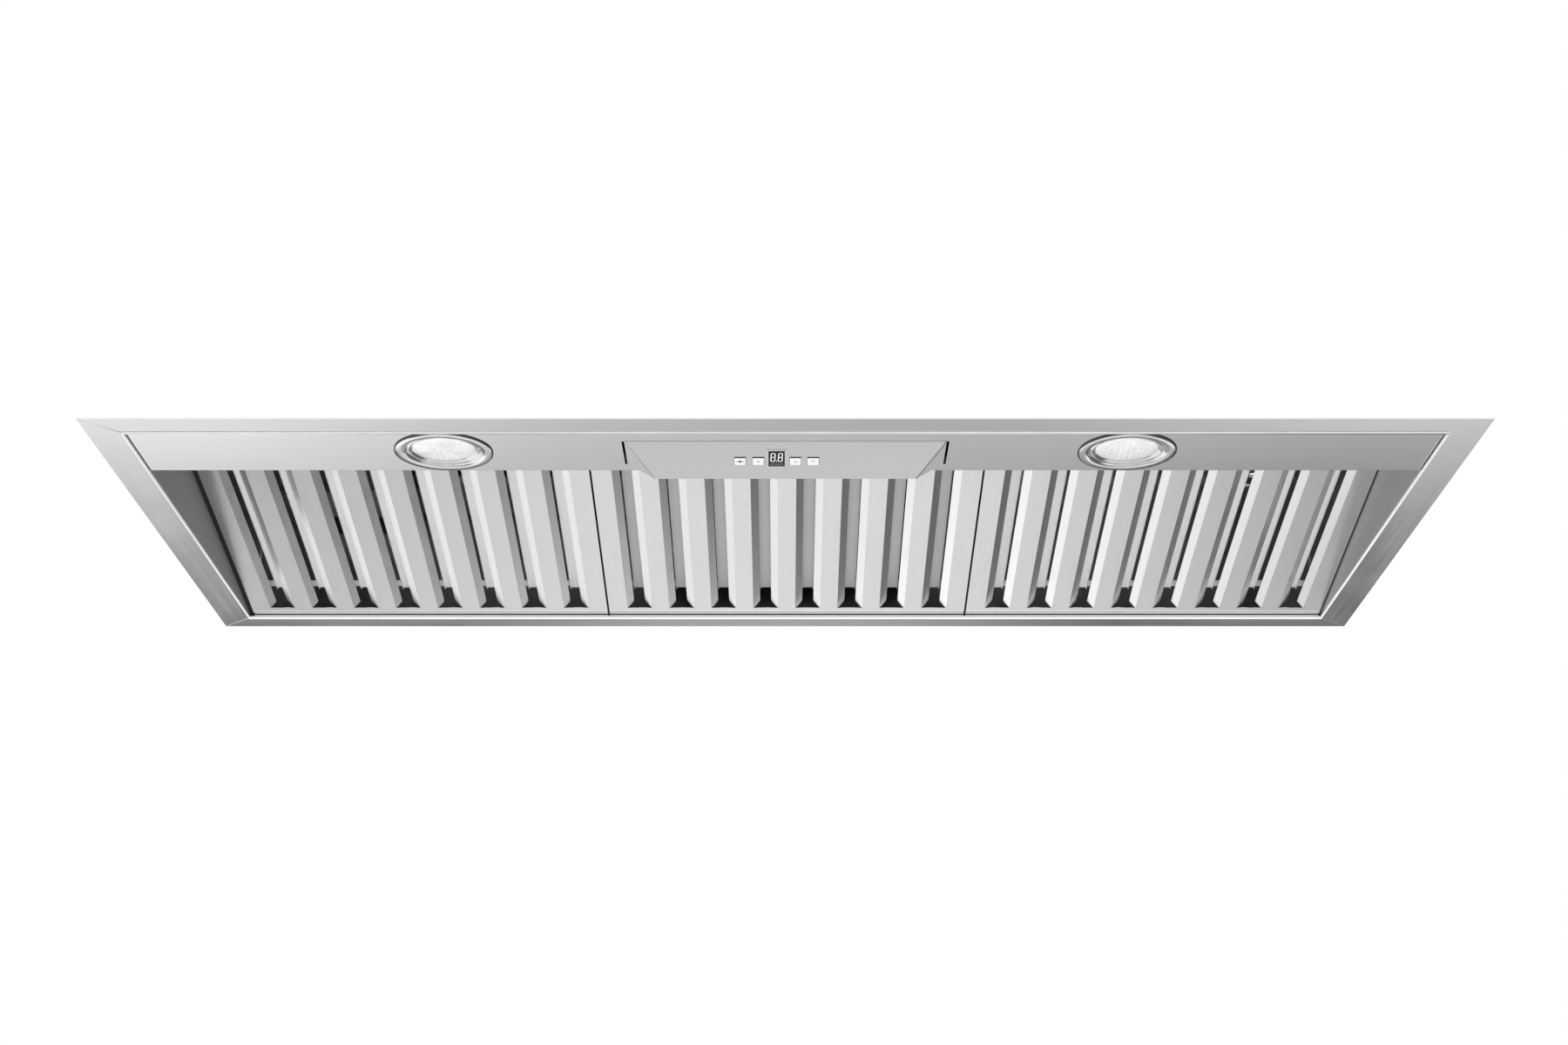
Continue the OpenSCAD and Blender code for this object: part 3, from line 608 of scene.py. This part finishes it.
def opening_corners():
    """The rim's inner corners as (x, y), from the front left one round."""
    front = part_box("front_rail")[0][1] + HEM_FRONT
    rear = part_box("rear_rail")[1][1] - HEM_REAR
    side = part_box("light_strip")[1][0] + HEM_SIDE
    return [(-side, front), (side, front), (side, rear), (-side, rear)]


def hem_section(build, x, y):
    """The bead's half-round section, stretched along the mitre of one corner."""
    lean = Vector((math.copysign(1, x), math.copysign(1, y), 0))
    verts = []
    for step in range(HEM_STEPS + 1):
        turn = math.pi * step / HEM_STEPS
        spot = Vector((x, y, HEM_LEVEL - HEM_RADIUS * math.sin(turn)))
        verts.append(build.verts.new(spot + lean * (HEM_RADIUS * HEM_SPREAD * math.cos(turn))))
    return closed_loop(build, verts)


def make_hem(polished, sheared):
    """Hemmed inner edge of the rim, a half-round bead: polished steel in front, and elsewhere a flat
    white that paints its highlight.
    """
    build = bmesh.new()
    sections = [hem_section(build, x, y) for x, y in opening_corners()]
    for i, section in enumerate(sections):
        both = section + sections[(i + 1) % len(sections)]
        for face in bmesh.ops.bridge_loops(build, edges=both)["faces"]:
            face.material_index = 0 if i == 0 else 1
    bmesh.ops.recalc_face_normals(build, faces=build.faces[:])
    finished(build, "rim_hem", [polished, sheared], "canopy", angle=60)


def make_mitre_seams(steel):
    """Fine raised seams across the rim's corners."""
    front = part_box("front_rail")[0][1]
    side, rear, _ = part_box("rear_rail")[1]
    build = bmesh.new()
    for x, y in opening_corners():
        outer = Vector((math.copysign(side, x), front if y < 0 else rear, 0))
        bar_between(build, outer, Vector((x, y, 0)), SEAM_SECTION, SEAM_ROUND, SEAM_SPARE, SEAM_LEVEL)
    finished(build, "mitre_seams", [steel], "canopy", angle=60)


def make_side_seals(foam):
    """Dark bars in the gaps beside the outer filters: painted shade where the gaps are open and dark.
    """
    hinge = Vector(joint_of("filter_left_drop")["pos_m"])
    slope = Matrix.Rotation(math.radians(FILTER_TILT), 4, "X")
    plane = Matrix.Translation((0, hinge.y, hinge.z)) @ slope
    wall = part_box("light_strip")[1][0] + WALL_OUT
    build = bmesh.new()
    for inner in (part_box("filter_frame_left")[0][0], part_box("filter_frame_right")[1][0]):
        outer = math.copysign(wall, inner)
        width = abs(outer - inner) - SEAL_SLACK
        middle = outer - math.copysign(width / 2, inner)
        rounded_block(build, (width, SEAL_LENGTH, SEAL_THICK), (middle, SEAL_MIDDLE, SEAL_RISE),
                      SEAL_ROUND, 2, plane)
    finished(build, "side_gap_shade", [foam], "canopy")


def make_panel_folds(bright, dark):
    """Bent edges of the sloping panel: its two slanting folds and its seam with the strip; the right
    fold and the seam are dark steel, painted shade, and the left fold is bright steel.
    """
    low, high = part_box("control_fascia")
    front = Vector((high[0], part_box("front_rail")[0][1] + PANEL_FRONT, PANEL_FOOT))
    back = Vector((high[0] - PANEL_TAPER, front.y + PANEL_RUN, low[2]))
    for side, sign, finish in (("left", -1, bright), ("right", 1, dark)):
        build = bmesh.new()
        start, end = [Vector((sign * spot.x, spot.y, spot.z)) for spot in (front, back)]
        bar_between(build, start, end, FOLD_SECTION, FOLD_ROUND)
        finished(build, "panel_fold_" + side, [finish], "canopy", angle=60)
    build = bmesh.new()
    rounded_block(build, (2 * front.x - FRONT_SEAM_SPARE, FRONT_SEAM_WIDE, FRONT_SEAM_DEEP),
                  (0, front.y - FRONT_SEAM_WIDE / 2, FRONT_SEAM_DEEP / 2), SEAM_ROUND, 2, Matrix())
    finished(build, "panel_seam", [dark], "canopy", angle=60)


# ---- key panel ---------------------------------------------------------------
# Millimetres on the sloping panel: across it, back along it and up into the hood. A rise is the
# height of a piece's middle.

KEYS = ("light", "minus", "plus", "power")
KEY_Y = 25.3
KEY_FACE = -0.8
CAP = (9.8, 8.5, 3.0)
CAP_BACK = 0.75
CAP_RISE = 0.8
CAP_PLATE = (12.2, 12.4, 1.0)
CAP_PLATE_RISE = 1.8
CAP_STEM = (3.0, 3.0, 4.4)
CAP_STEM_RISE = 5.2
# Dark block under each cap: painted shade in the gap round the key.
SKIRT = (9.8, 10, 1.0)
SKIRT_RISE = 0.6

# Printed ink, and how far it stands out of a key's face.
INK_THICK = 0.1
INK_PROUD = 0.06

# The end bars of the surround are a hair thinner than its side bars, so no two faces coincide.
DISPLAY_Y = 22.0
SURROUND = (16.6, 23.0)
SIDE_BAR_THICK = 0.75
END_BAR_THICK = 0.74
BAR_ROUND = 0.22
WINDOW = (14.0, 20.4)
WINDOW_DEEP = 12.3
WINDOW_RISE = 5.85

# Figures and marks: their face, how far forward of the window's middle they are set, each
# figure's middle, the point's radius and height, and the height and size of each row of marks.
FIGURE_FACE = -0.36
FIGURE_FORWARD = 1.6
FIGURE_OUT = 3.15
POINT_RADIUS = 0.5
POINT_UP = 4.9
MARK_COUNT = 7
MARK_STEP = 1.6
MARK_WIDTH = 1.0
MARK_ROWS = ((8.6, 0.6), (9.8, 0.35))


def fascia_plane():
    """Place of the sloping panel: Y runs back along it, Z goes up into the hood."""
    press = joint_of("light_press")["axis"]
    tilt = math.atan2(press[1], press[2])
    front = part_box("front_rail")[0][1] + PANEL_FRONT
    return Matrix.Translation((0, front, PANEL_FOOT)) @ Matrix.Rotation(-tilt, 4, "X")


def circle_outline(radius, count=24, centre=(0, 0)):
    """Disc as a polygon."""
    return [(centre[0] + radius * math.cos(math.tau * i / count),
             centre[1] + radius * math.sin(math.tau * i / count)) for i in range(count)]


def bar_outline(x, y, width, height):
    """Upright rectangle about a point."""
    return [(x - width / 2, y - height / 2), (x + width / 2, y - height / 2),
            (x + width / 2, y + height / 2), (x - width / 2, y + height / 2)]


def arc_band(inner, outer, start, end, steps=20):
    """Part of a flat ring between two angles in degrees."""
    turns = [math.radians(start + (end - start) * i / steps) for i in range(steps + 1)]
    return ([(outer * math.cos(a), outer * math.sin(a)) for a in turns]
            + [(inner * math.cos(a), inner * math.sin(a)) for a in reversed(turns)])


def icon_outlines(key):
    """Generic signs: lamp, less, more and on."""
    if key == "light":
        near = [bar_outline(side * 2.3, 0, 0.5, 1.5) for side in (-1, 1)]
        far = [bar_outline(side * 3.1, 0, 0.35, 0.8) for side in (-1, 1)]
        return [circle_outline(1.25)] + near + far
    if key == "minus":
        return [arc_band(0.7, 1.15, 0, 345), bar_outline(0, 0, 0.8, 0.3)]
    if key == "plus":
        ends = [bar_outline(0, side * 1.0, 0.6, 1.1) for side in (1, -1)]
        return [bar_outline(0, 0, 2.6, 0.6)] + ends
    return [arc_band(0.95, 1.4, -240, 60), bar_outline(0, -1.1, 0.4, 1.3)]


def make_keys(cap, skirt, lamp_ink, sign_ink):
    """Key caps with their plates and stems, dark blocks under them that paint the shade round each cap,
    and printed signs.
    """
    plane = fascia_plane()
    for key in KEYS:
        x = centre_of(key + "_key").x / MM
        button = key + "_button"
        build = bmesh.new()
        block_mm(build, CAP, (x, KEY_Y + CAP_BACK, CAP_RISE), 0.5, 4, plane)
        block_mm(build, CAP_PLATE, (x, KEY_Y, CAP_PLATE_RISE), 0.25, 2, plane)
        block_mm(build, CAP_STEM, (x, KEY_Y, CAP_STEM_RISE), 0.5, 2, plane)
        piece = finished(build, key + "_keycap", [cap], button)
        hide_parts(key + "_key")
        build = bmesh.new()
        # Dark block under the cap: painted shade in the gap round it.
        block_mm(build, SKIRT, (x, KEY_Y, SKIRT_RISE), 0.2, 2, plane)
        finished(build, key + "_key_shade_skirt", [skirt], button)
        build = bmesh.new()
        face = plane @ Matrix.Translation((x * MM, KEY_Y * MM, (KEY_FACE - INK_PROUD) * MM))
        for outline in icon_outlines(key):
            extruded(build, outline, INK_THICK, face)
        ink = lamp_ink if key == "light" else sign_ink
        finished(build, key + "_sign", [ink], button, smooth=False)


def digit_strokes(x, height=10.2, width=3.3, thick=0.8, lean=0.05):
    """The seven strokes of a figure, leaning a little."""
    half_w, half_h = width / 2, height / 2
    gap = thick * 0.55

    def stroke(x0, y0, x1, y1):
        along = Vector((x1 - x0, y1 - y0)).normalized()
        side = Vector((-along.y, along.x)) * thick / 2
        start, end = Vector((x0, y0)) + along * gap, Vector((x1, y1)) - along * gap
        tip = along * thick / 2
        points = [start - tip, start + side, end + side, end + tip, end - side, start - side]
        return [(x + p.x - lean * p.y, p.y) for p in points]

    corners = [(-half_w, -half_h), (half_w, -half_h), (half_w, 0), (half_w, half_h),
               (-half_w, half_h), (-half_w, 0)]
    pairs = [(i, (i + 1) % 6) for i in range(6)] + [(5, 2)]
    return [stroke(*corners[a], *corners[b]) for a, b in pairs]


def make_display(surround, glass, lit, dim):
    """Display window in its surround, with two figures, a point and small marks."""
    plane = fascia_plane()
    x = centre_of("display_module").x / MM
    side_wall = (SURROUND[0] - WINDOW[0]) / 2
    end_wall = (SURROUND[1] - WINDOW[1]) / 2
    build = bmesh.new()
    for side in (-1, 1):
        beside = x + side * (WINDOW[0] + side_wall) / 2
        beyond = DISPLAY_Y + side * (WINDOW[1] + end_wall) / 2
        block_mm(build, (side_wall, SURROUND[1], SIDE_BAR_THICK),
                 (beside, DISPLAY_Y, -SIDE_BAR_THICK / 2), BAR_ROUND, 3, plane)
        block_mm(build, (SURROUND[0], end_wall, END_BAR_THICK),
                 (x, beyond, -END_BAR_THICK / 2), BAR_ROUND, 3, plane)
    piece = finished(build, "display_surround", [surround], "canopy")
    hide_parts("display_bezel")
    build = bmesh.new()
    block_mm(build, (*WINDOW, WINDOW_DEEP), (x, DISPLAY_Y, WINDOW_RISE), 0.3, 3, plane)
    piece = finished(build, "display_window", [glass], "canopy")
    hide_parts("display_module")
    spot = Vector((x, DISPLAY_Y - FIGURE_FORWARD, FIGURE_FACE))
    face = plane @ Matrix.Translation(spot * MM)
    build = bmesh.new()
    point = circle_outline(POINT_RADIUS, 12, (0, POINT_UP))
    for outline in digit_strokes(-FIGURE_OUT) + digit_strokes(FIGURE_OUT) + [point]:
        extruded(build, outline, INK_THICK, face)
    finished(build, "display_figures", [lit], "canopy", smooth=False)
    build = bmesh.new()
    for i in range(MARK_COUNT):
        along = MARK_STEP * (i - (MARK_COUNT - 1) / 2)
        for row, height in MARK_ROWS:
            extruded(build, bar_outline(along, row, MARK_WIDTH, height), INK_THICK, face)
    finished(build, "display_marks", [dim], "canopy", smooth=False)


# ---- lamps --------------------------------------------------------------------
# Outlines are (r, z) in millimetres, turned about each lamp's middle.

LAMP_RING = [
    (41.9, 0.28), (42.0, -0.1), (41.7, -0.55), (41.0, -0.9), (39.5, -1.1), (37.5, -1.16),
    (35.5, -1.1), (34.0, -0.85), (33.2, -0.4), (32.7, 0.4), (32.1, 1.2), (31.4, 1.3),
    (30.9, 0.7), (30.3, 0.35), (29.6, 0.35), (29.0, 0.7), (28.5, 1.5), (28.0, 2.3),
    (27.4, 2.45), (27.4, 2.9), (35.3, 2.9), (35.3, 12.5), (36.5, 12.5), (36.5, 0.3),
]
# Black ring round the stepped ring's outer edge: painted shade of the gap there.
LAMP_GASKET = [(41.6, 0.28), (42.5, 0.28), (42.5, -0.5), (42.3, -0.85), (41.9, -1.0), (41.6, -0.9)]
LAMP_LENS = [
    (0.02, 0.95), (6, 0.99), (12, 1.08), (18, 1.25), (23, 1.5), (26.2, 1.85), (27.1, 2.3),
    (27.1, 2.95), (33, 2.95), (33, 3.95), (0.02, 3.95),
]
BEAD_ROWS = 5
BEAD_PITCH = 5.0 * MM
BEAD_RADIUS = 1.9 * MM
BEAD_FLATNESS = 0.22
BEAD_LEVEL = 1.02 * MM
BEAD_CLIMB = 0.032 * MM


def lens_beads(middle):
    """Flat beads in rings on the lens, each ring a little higher than the last."""
    build = bmesh.new()
    for row in range(BEAD_ROWS):
        count = max(1, row * 6)
        for i in range(count):
            turn = math.tau * (i + 0.5 * (row % 2)) / count
            spot = Matrix.Translation((middle.x + BEAD_PITCH * row * math.cos(turn),
                                       middle.y + BEAD_PITCH * row * math.sin(turn),
                                       BEAD_LEVEL + BEAD_CLIMB * row * row))
            made = bmesh.ops.create_uvsphere(build, u_segments=10, v_segments=6,
                                             radius=BEAD_RADIUS)["verts"]
            bmesh.ops.scale(build, vec=(1, 1, BEAD_FLATNESS), verts=made)
            bmesh.ops.transform(build, matrix=spot, verts=made)
    return build


def make_lamps(chrome, glass, rubber):
    """Stepped ring, a black ring round it that paints the shade of the gap at its edge, and beaded lens
    of each lamp.
    """
    for side in LIGHTS:
        middle = centre_of("light_bezel_" + side)
        centre = (middle.x, middle.y, 0)
        build = bmesh.new()
        turned(build, LAMP_RING, centre, 128)
        piece = finished(build, "lamp_ring_" + side, [chrome], "canopy", angle=50)
        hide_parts("light_bezel_" + side)
        build = bmesh.new()
        # Black ring at the ring's outer edge: painted shade of the gap.
        turned(build, LAMP_GASKET, centre, 128)
        finished(build, "lamp_gap_shade_" + side, [rubber], "canopy")
        build = bmesh.new()
        turned(build, LAMP_LENS, centre)
        piece = finished(build, "lamp_lens_" + side, [glass], "canopy", angle=50)
        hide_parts("light_lens_" + side)
        finished(lens_beads(middle), "lamp_optics_" + side, [glass], "canopy")


# ---- screws --------------------------------------------------------------------

# A pan head as (r, z) in millimetres, turned about Z; its cross is two black bars that cross on top,
# painted shade for the recess.
SCREW_HEAD = [(3.5, 0), (3.5, 0.55), (3.25, 1.15), (2.6, 1.65), (1.5, 1.95), (0.02, 2.0), (0.02, 0)]
HEAD_HEIGHT = 2 * MM
CROSS_SIZES = ((3.4, 0.7, 0.5), (0.7, 3.4, 0.5))
CROSS_RISE = 1.78


def packed_heads():
    """Place of each packed screw head, Z pointing out of the sheet, and a turn in degrees."""
    packed = bmesh.new()
    packed.from_mesh(frame["nodes"]["body_screws"].data)
    places = []
    left = set(packed.verts)
    while left:
        island = grow_island([min(left, key=lambda v: v.index)])
        left -= island
        spots = [v.co for v in island]
        low = Vector([min(p[i] for p in spots) for i in range(3)])
        high = Vector([max(p[i] for p in spots) for i in range(3)])
        middle = (low + high) / 2
        lies_on_side = high.x - low.x < 1.5 * HEAD_HEIGHT
        outward = Vector((math.copysign(1, middle.x), 0, 0) if lies_on_side else (0, 0, 1))
        turn = outward.to_track_quat("Z", "Y").to_matrix().to_4x4()
        foot = Matrix.Translation(middle - outward * HEAD_HEIGHT / 2)
        places.append((foot @ turn, 20 + 1.7 * len(left)))
    packed.free()
    return places


def make_screws(metal, ink):
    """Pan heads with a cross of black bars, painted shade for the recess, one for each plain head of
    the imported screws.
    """
    head = bmesh.new()
    turned(head, SCREW_HEAD, (0, 0, 0), 40)
    template = bpy.data.meshes.new("head")
    head.to_mesh(template)
    head.free()
    heads, crosses = bmesh.new(), bmesh.new()
    for place, degrees in packed_heads():
        known = set(heads.verts)
        heads.from_mesh(template)
        bmesh.ops.transform(heads, matrix=place, verts=[v for v in heads.verts if v not in known])
        turn = place @ Matrix.Rotation(math.radians(degrees), 4, "Z")
        for size in CROSS_SIZES:
            block_mm(crosses, size, (0, 0, CROSS_RISE), 0.1, 2, turn)
    piece = finished(heads, "screw_heads", [metal], "canopy", angle=50)
    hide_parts("body_screws")
    finished(crosses, "screw_cross_shade", [ink], "canopy")


# ---- what everything is finished in ---------------------------------------------

# How pale the channels behind each filter's slots are: painted light and shade, one tone per filter for
# how brightly it is lit.
FILTER_INNER_TONES = {"left": 0.97, "middle": 0.60, "right": 0.94}


def dress(node, material):
    """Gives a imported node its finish."""
    mesh = frame["nodes"][node].data
    mesh.materials.clear()
    mesh.materials.append(material)


def dress_nodes(zinc, spring, black):
    """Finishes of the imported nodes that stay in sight."""
    wear = {
        brushed_steel("canopy_steel_across", 0.84, 0.16):
            ("front_rail", "rear_rail", "control_fascia"),
        # Light strip: painted shade darkens it towards its right end.
        brushed_steel("strip_steel_shaded", 0.93, 0.16, "X", 0.08, fade=(0.16, 0.52, 0.62)):
            ("light_strip",),
        # Side pieces: painted shade darkens their walls above the rim.
        brushed_steel("canopy_steel_lengthwise", 0.84, 0.16, "Y", dull_over=0.6 * MM):
            ("left_side", "right_side"),
        brushed_steel("filter_steel", 0.84, 0.20, "Y", 0.04):
            tuple("filter_frame_" + side for side in SIDES),
        zinc: ("top_cover", "inner_panel", "filter_rail", "inlet_rings", "impeller_left",
               "impeller_right", "motor_shell", "motor_bracket", "duct_collar", "damper_flap",
               "junction_box", "junction_cover", "light_housing_left", "light_housing_right"),
        spring: ("catch_clips", "light_springs_left", "light_springs_right", "damper_pin",
                 "motor_shaft", "board_posts",
                 *(part + side for side in SIDES for part in ("filter_studs_", "filter_pull_"))),
        moulded("board_laminate", (0.02, 0.12, 0.06), 0.30, coat=0.4):
            ("control_board", "light_board_left", "light_board_right"),
        black: ("key_switches", "cable_gland", "wire_harness"),
        moulded("white_plastic", (0.70, 0.70, 0.68), 0.34):
            ("terminal_block", "led_driver", "capacitor"),
        plain_metal("bush_bronze", (0.62, 0.44, 0.20), 0.30): ("shaft_bushes",),
        # Black paint on the blower housing; its near-black tone also paints the shade of the deep
        # inside seen through the filters.
        moulded("blower_black", (0.018, 0.018, 0.020), 0.46): ("blower_housing",),
    }
    for material, nodes in wear.items():
        for node in nodes:
            dress(node, material)
    for side, tone in FILTER_INNER_TONES.items():
        dress("filter_baffles_" + side, satin_sheet("filter_inner_lit_steel_" + side, tone, 0.42))


def make_pieces(black):
    """All the fine pieces, each with its finish."""
    chrome = plain_metal("satin_chrome", (0.88, 0.88, 0.88), 0.12, 700)
    key_white = moulded("key_white", (0.66, 0.66, 0.655), 0.22, coat=0.5)
    gloss_black = moulded("display_black", (0.008, 0.008, 0.009), 0.12, texture=0.02)
    # Black for printed signs, and for painted shade in the key gaps and screw recesses.
    ink = moulded("sign_black_and_shade", (0.015, 0.015, 0.016), 0.4)
    grey_ink = moulded("sign_grey", (0.30, 0.30, 0.31), 0.4)
    figures = moulded("figure_grey", (0.78, 0.77, 0.74), 0.4)
    faint = moulded("mark_grey", (0.22, 0.21, 0.20), 0.4)
    bezel_grey = moulded("bezel_grey", (0.42, 0.42, 0.42), 0.35)
    make_keys(key_white, ink, ink, grey_ink)
    make_display(bezel_grey, gloss_black, figures, faint)
    make_lamps(chrome, frosted_glass("lamp_glass"), black)
    make_screws(plain_metal("zinc_screw", (0.72, 0.72, 0.74), 0.22), ink)
    hem_steel = plain_metal("hem_steel", (0.88, 0.88, 0.88), 0.20, 900)
    # Flat white on the side and rear hem: a painted highlight.
    make_hem(hem_steel, moulded("hem_painted_highlight", (0.90, 0.90, 0.90), 0.30, texture=0.04))
    make_mitre_seams(hem_steel)
    # Black bars beside the outer filters: painted shade in the gaps.
    make_side_seals(moulded("side_gap_shade_black", (0.010, 0.010, 0.010), 0.8, texture=0.5, waves=900.0))
    # Dark fold steel is painted shade on the right fold and along the panel's seam.
    make_panel_folds(hem_steel, plain_metal("fold_steel_painted_shade", (0.36, 0.36, 0.36), 0.34, 900))


make_camera()
make_world()
make_fills()
make_floor()
black_plastic = moulded("black_plastic", (0.022, 0.022, 0.024), 0.42)
spring_steel = plain_metal("spring_steel", (0.62, 0.62, 0.64), 0.26)
dress_nodes(galvanised(), spring_steel, black_plastic)
make_pieces(black_plastic)
